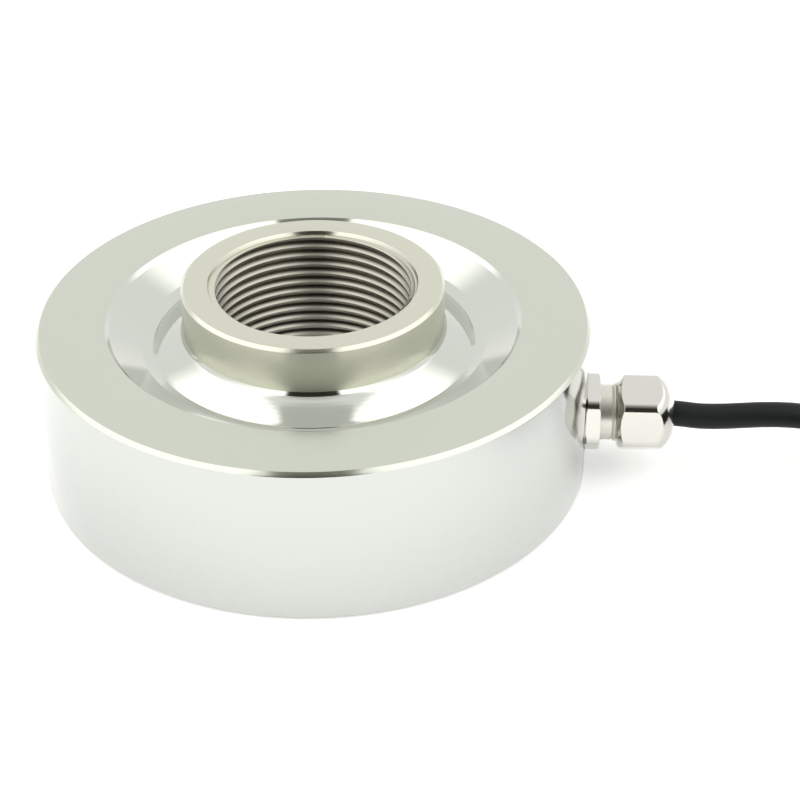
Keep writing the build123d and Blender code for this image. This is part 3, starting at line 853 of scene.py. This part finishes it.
# %% [markdown]
# The cable
#
# The cable is one smooth curve with a round bevel, not a mesh, because a curve keeps its thickness at
# every bend and gives its own length. It leaves the gland straight, because the seal holds it there,
# sinks to the table and goes into the coil. Inside the coil it winds like a real one: along a layer
# from the outside in, up into the next layer, and out again. Under the tie the turns are drawn
# together and lifted a little.

# %% Route from the gland to the coil
CABLE_D = 5.0
EXIT = (TIP_X - 0.8, 0.0, GLAND_HEIGHT)
cable_points = [
    EXIT,
    (70.0, 0.0, 11.2),
    (76.0, -0.3, 10.55),
    (90.0, 0.9, 11.1),
    (100.0, 2.4, 8.8),
    (110.0, 4.2, 5.4),
    (120.0, 5.9, 2.9),
    (132.2, 7.0, 2.5),
]
print("the cable leaves the cap at", [round(c, 1) for c in EXIT], "mm")

# %% Turns of the coil
COIL_CENTRE = (144.0, -30.8)
COIL_R = 30.0
TURN_GAP = 5.2
LAYERS = 4
TURN_DEGREES = 348
CROSSING_DEGREES = 30
STEPS_PER_TURN = 18
START_DEGREES = 90
END_DEGREES = 44
FULL_TURNS = 15
TRAVEL = START_DEGREES - END_DEGREES + FULL_TURNS * 360
TIE_DEGREES = 60
TIE_REACH_DEGREES = 25
TIE_GRIP = 0.04
TIE_LIFT = 0.6

turn_radii = [COIL_R + (1.5 - number) * TURN_GAP for number in range(4)]
slots = []
for layer in range(LAYERS):
    order = turn_radii if layer % 2 == 0 else turn_radii[::-1]
    slots += [(r, CABLE_D / 2 + layer * TURN_GAP) for r in order]


def smooth(share):
    """0 to 1 with soft ends."""
    share = min(1.0, max(0.0, share))
    return share * share * (3 - 2 * share)


def coil_point(travel):
    """Point of the coil's middle line, after so many degrees of travel from the coil's start."""
    number = min(int(travel // TURN_DEGREES), len(slots) - 1)
    radius, z = slots[number]
    if number + 1 < len(slots):
        share = smooth((travel - (number + 1) * TURN_DEGREES + CROSSING_DEGREES) / CROSSING_DEGREES)
        radius += share * (slots[number + 1][0] - radius)
        z += share * (slots[number + 1][1] - z)
    angle = START_DEGREES - travel
    near_tie = smooth(1 - abs((angle - TIE_DEGREES + 180) % 360 - 180) / TIE_REACH_DEGREES)
    radius -= near_tie * (radius - COIL_R) * TIE_GRIP
    z += near_tie * (TIE_LIFT - (z - CABLE_D / 2) * TIE_GRIP)
    return (COIL_CENTRE[0] + radius * cos(radians(angle)), COIL_CENTRE[1] + radius * sin(radians(angle)), z)


coil_steps = int(TRAVEL * STEPS_PER_TURN / 360) + 1
cable_points += [coil_point(step * 360 / STEPS_PER_TURN) for step in range(coil_steps)]
print("coil:", round(TRAVEL / 360, 1), "turns in", LAYERS, "layers,", coil_steps, "points")

# %% Cable curve
curve = bpy.data.curves.new("signal_cable", "CURVE")
curve.dimensions = "3D"
curve.bevel_depth = CABLE_D / 2 * MM
curve.bevel_resolution = 5
curve.resolution_u = 4
curve.use_fill_caps = True
spline = curve.splines.new("NURBS")
spline.points.add(len(cable_points) - 1)
for point, place in zip(spline.points, cable_points):
    point.co = (*(c * MM for c in place), 1.0)
spline.order_u = 3
spline.use_endpoint_u = True
curve.materials.append(cable_jacket)
cable = bpy.data.objects.new("signal_cable", curve)
scene.collection.objects.link(cable)
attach(cable, BODY)
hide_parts("cable_run", "cable_coil")

# %% [markdown]
# The other pieces
#
# The rest of the CAD model could be meshed anew as well, but its solids already have the right shapes,
# so it is shown as it is, each piece with a material of its own. Most of it is hidden: the gauges on
# the roof of the cavity, the board and the wires. They are dressed all the same, because somebody who
# takes the cover off should find them finished. Grain sizes are from 0.2 mm on the small chips to
# 0.6 mm on the board, a few times coarser than the real ones so that they show.

# %% Seal, claw, board and gauges
# Moulded nitrile rubber: charcoal, dull, with a powdery grain.
rubber = coated("moulded_seal_rubber", "#2A2A28", "#383836", 0.7, 0.4, 0.03)
# Moulded nylon without pigment: cream, with a waxy shine.
nylon = coated("moulded_nylon", "#D8D2C0", "#C9C2AE", 0.45, 0.5, 0.02)
# Glass-fibre board under a printed varnish: green and fairly glossy, lighter over the copper.
green_board = coated("green_solder_mask", "#1F5B35", "#2C6E44", 0.35, 0.6, 0.02)
# Fired and glazed film on ceramic: small black chips with a hard shine.
chip = coated("black_resistor_body", "#1D1D20", "#303034", 0.4, 0.2, 0.02)
# Drawn copper under baked enamel, many wires side by side: red-brown with a ropy grain.
brown_wire = coated("enamelled_wire_bundle", "#8A4B22", "#A5652F", 0.4, 0.25, 0.05)
# Cast polyimide film over an etched grid: amber, smooth, with darker and lighter patches.
foil = coated("polyimide_gauge_foil", "#C07A2A", "#D79A4A", 0.3, 0.3, 0.01)
print("inside:", [m.name for m in (rubber, nylon, green_board, chip, brown_wire, foil)])

# %% Tie, sleeve, wires and solder
# Extruded PVC over a soft wire: black, a little dusty.
tie_plastic = coated("twist_tie_plastic", "#15171A", "#2A2C30", 0.5, 0.3, 0.05)
# Shrunk polyolefin tube: black and glossier than the jacket, pulled into fine wrinkles.
sleeve_plastic = coated("heat_shrink_sleeve", "#101113", "#1C1E21", 0.35, 0.35, 0.05)
# Extruded PVC in four plain colours, each a shade deeper in places: glossy, like new hook-up wire.
wire_colours = {
    "red": ("#B3201C", "#A01A19"), "black": ("#17181A", "#212225"),
    "green": ("#1E7A3C", "#196A35"), "white": ("#E6E3DA", "#D8D4C8"),
}
wires = {
    colour: coated(f"{colour}_core_insulation", code, deeper, 0.35, 0.3, 0.02)
    for colour, (code, deeper) in wire_colours.items()
}
# Dipped in molten tin: silver white, with the soft shine of a solder joint.
solder = nickel("solder_and_tinned_copper", "#CDD0D2", 0.28)
print("cable's end:", [m.name for m in (tie_plastic, sleeve_plastic, *wires.values(), solder)])

# %% Dress the CAD pieces
CAD_CREASE = radians(30)
finishes = {
    "bottom_cover": turned_face,
    "bridge_board": green_board,
    "trim_resistors": chip,
    "bridge_harness": brown_wire,
    "solder_terminals": solder,
    "gland_seal": rubber,
    "gland_claw": nylon,
    "cable_inner_end": cable_jacket,
    "coil_tie": tie_plastic,
    "cable_end_sleeve": sleeve_plastic,
    "shield_drain_wire": solder,
    "tinned_tips": solder,
}
for number in range(1, 9):
    finishes[f"strain_gauge_{number}"] = foil
for colour, material in wires.items():
    finishes[f"inner_wire_{colour}"] = material
    finishes[f"lead_{colour}"] = material
for node, material in finishes.items():
    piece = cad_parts[node]
    piece.data.materials.clear()
    piece.data.materials.append(material)
    piece.data.shade_smooth()
    piece.data.set_sharp_from_angle(angle=CAD_CREASE)
print("dressed nodes:", len(finishes))

# %% [markdown]
# The table
#
# A polished ring shows the room more than itself, so the room is drawn with care. The table is white
# paper. Lit by the studio alone it would come out pale grey, and more light would bleach the ring. So
# the paper glows a little for rays from the camera, from mirrors and through glass, and only for them:
# the background is white, the steel mirrors the same white, and the ring still throws its faint
# shadow. Paper has fibres of about 2 mm, which keep the white from looking like a hole in the picture.

# %% Table of white paper
TABLE = 3.0
FIBRE_MM = 2.0
PAPER_GLOW = 0.3
table_corners = [(-TABLE, -TABLE, 0), (TABLE, -TABLE, 0), (TABLE, TABLE, 0), (-TABLE, TABLE, 0)]
table_mesh = bpy.data.meshes.new("white_table")
table_mesh.from_pydata(table_corners, [], [(0, 1, 2, 3)])
table = bpy.data.objects.new("white_table", table_mesh)
scene.collection.objects.link(table)

paper, tree, place = new_material("white_paper_table")
fibres = add(tree, "ShaderNodeTexNoise", {"Vector": place, "Scale": 1 / (FIBRE_MM * MM), "Detail": 3.0})
tone = add(tree, "ShaderNodeMix", {
    "Factor": fibres.outputs["Fac"], "A": linear("#FFFFFF"), "B": linear("#F6F6F4"),
}, data_type="RGBA")
matte = add(tree, "ShaderNodeBsdfDiffuse", {"Color": tone.outputs["Result"]})
glow = add(tree, "ShaderNodeEmission", {"Color": (1, 1, 1, 1), "Strength": PAPER_GLOW})
glowing = add(tree, "ShaderNodeAddShader", {0: matte.outputs[0], 1: glow.outputs[0]})
rays = add(tree, "ShaderNodeLightPath").outputs
mirrored = add(tree, "ShaderNodeMath", {
    0: rays["Is Glossy Ray"], 1: rays["Is Transmission Ray"],
}, operation="MAXIMUM")
looked_at = add(tree, "ShaderNodeMath", {
    0: rays["Is Camera Ray"], 1: mirrored.outputs[0],
}, operation="MAXIMUM")
white = add(tree, "ShaderNodeMixShader", {
    0: looked_at.outputs[0], 1: matte.outputs[0], 2: glowing.outputs[0],
})
add(tree, "ShaderNodeOutputMaterial", {"Surface": white.outputs[0]})
table_mesh.materials.append(paper)
print("table", 2 * TABLE, "m wide")

# %% [markdown]
# The tent
#
# Polished things are photographed in a white tent, because whatever is not white shows in them. This
# world is such a tent, described by direction alone, so nothing in it has a size. Over its plain white
# lie five patches, each with soft edges: a slightly grey roof, brighter lamps high at both sides, and
# three darker pieces along the middle, where the tent is open for the camera. The last is the gap
# itself. They make the dark lines along the edges of the ring and the gland, which give them their
# shape. Lamps could do the same, but a lamp's reflection has a shape of its own that would have to be
# hidden.

# %% Directions in the world, turned with the camera
world = bpy.data.worlds.new("soft_studio")
world.use_nodes = True
scene.world = world
tree = world.node_tree
tree.nodes.clear()
direction = add(tree, "ShaderNodeVectorRotate", {
    "Vector": add(tree, "ShaderNodeTexCoord").outputs["Generated"], "Angle": -TURN,
}, rotation_type="Z_AXIS")
sideways, back, height = add(tree, "ShaderNodeSeparateXYZ", {"Vector": direction.outputs[0]}).outputs
LAMP_SLANT = -0.45
aside = add(tree, "ShaderNodeMath", {0: sideways}, operation="ABSOLUTE").outputs[0]
slanted = add(tree, "ShaderNodeMath", {0: back, 1: LAMP_SLANT, 2: aside}, operation="MULTIPLY_ADD").outputs[0]
print("world:", world.name)


# %% Patches of light and dark
def patch(below, code, strength, *edges):
    """Patch of light or dark over what is below it. Each edge is a direction's value, where it starts to
    show and where it shows in full."""
    mask = 1.0
    for value, start, full in edges:
        rising = start < full
        mask = add(tree, "ShaderNodeMapRange", {
            "Value": value, "From Min": min(start, full), "From Max": max(start, full),
            "To Min": 0.0 if rising else mask, "To Max": mask if rising else 0.0,
        }, interpolation_type="SMOOTHSTEP").outputs[0]
    light = [share * strength for share in linear(code)[:3]] + [1.0]
    layer = add(tree, "ShaderNodeMix", {"Factor": mask, "A": below, "B": light}, data_type="RGBA")
    return layer.outputs["Result"]


TENT_LIGHT = 1.2
over_table = (height, -0.02, 0.02)
near_middle = (aside, 0.24, 0.2)
sky = linear("#FAFAF8")
# Roof: a touch of grey, so that level faces are darker than the table.
sky = patch(sky, "#F0F1EF", 1.0, (height, 0.05, 0.3))
# Lamps high at both sides, which slant away from the camera.
sky = patch(sky, "#FFFFFD", 1.5, (slanted, 0.21, 0.26), (height, 0.2, 0.45), (back, 0.58, 0.40))
# Opening of the tent: pale overhead, darker towards the camera.
sky = patch(sky, "#C3C5BE", 1.0, near_middle, over_table, (back, 0.07, 0.02))
sky = patch(sky, "#75746A", 1.0, near_middle, over_table, (back, -0.15, -0.45))
# Gap where the camera looks in.
sky = patch(sky, "#302F2A", 1.0, (aside, 0.36, 0.31), over_table, (back, -0.55, -0.70))
tent = add(tree, "ShaderNodeBackground", {"Color": sky, "Strength": TENT_LIGHT})
add(tree, "ShaderNodeOutputWorld", {"Surface": tent.outputs[0]})
print("tent light", TENT_LIGHT)

# %% Plain colours
# Blender's default view softens whites. Standard shows each colour as it is written.
scene.view_settings.view_transform = "Standard"
print("view transform:", scene.view_settings.view_transform)
